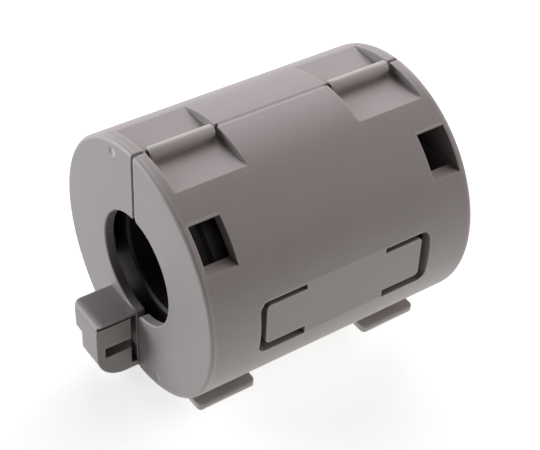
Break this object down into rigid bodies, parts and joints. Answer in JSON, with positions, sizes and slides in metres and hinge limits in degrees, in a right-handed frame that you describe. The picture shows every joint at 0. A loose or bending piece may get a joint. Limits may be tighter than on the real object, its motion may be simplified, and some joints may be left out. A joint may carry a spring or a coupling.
{
  "type": "clip on ferrite bead",
  "caption": "Round split ferrite bead in a hinged snap case, closing over a round cable, with a cable tie lug under the bore at one end.",
  "frame": {"origin": "centre of the cable bore, halfway along the case", "axes": "+Y along the bore to the plain end, -Y to the end with the cable tie lug, +Z to the film hinges, -Z to the snap latches, +X to the half that swings open"},
  "size_m": [0.03, 0.039, 0.0302],
  "materials": {
    "case": "fine satin moulded grey",
    "core": "sintered near-black, ground and slightly glossy"
  },
  "bodies": {
    "left_half": {"case_half_left": "case", "core_half_left": "core", "film_hinge_front": "case", "film_hinge_rear": "case"},
    "right_half": {"case_half_right": "case", "core_half_right": "core"},
    "front_latch": {"latch_strap_front": "case"},
    "rear_latch": {"latch_strap_rear": "case"}
  },
  "joints": [
    {"name": "case_hinge", "type": "hinge", "parent": "left_half", "child": "right_half", "pos_m": [0, 0, 0.015], "axis": [0, -1, 0], "range_deg": [0, 150], "deforming": ["film_hinge_front", "film_hinge_rear"]},
    {"name": "front_latch_flex", "type": "hinge", "parent": "left_half", "child": "front_latch", "pos_m": [-0.00344, -0.0113, -0.0146], "axis": [0, 1, 0], "range_deg": [0, 9], "stiffness_Nm_per_rad": 0.5},
    {"name": "rear_latch_flex", "type": "hinge", "parent": "left_half", "child": "rear_latch", "pos_m": [-0.00344, 0.0113, -0.0146], "axis": [0, 1, 0], "range_deg": [0, 9], "stiffness_Nm_per_rad": 0.5}
  ]
}
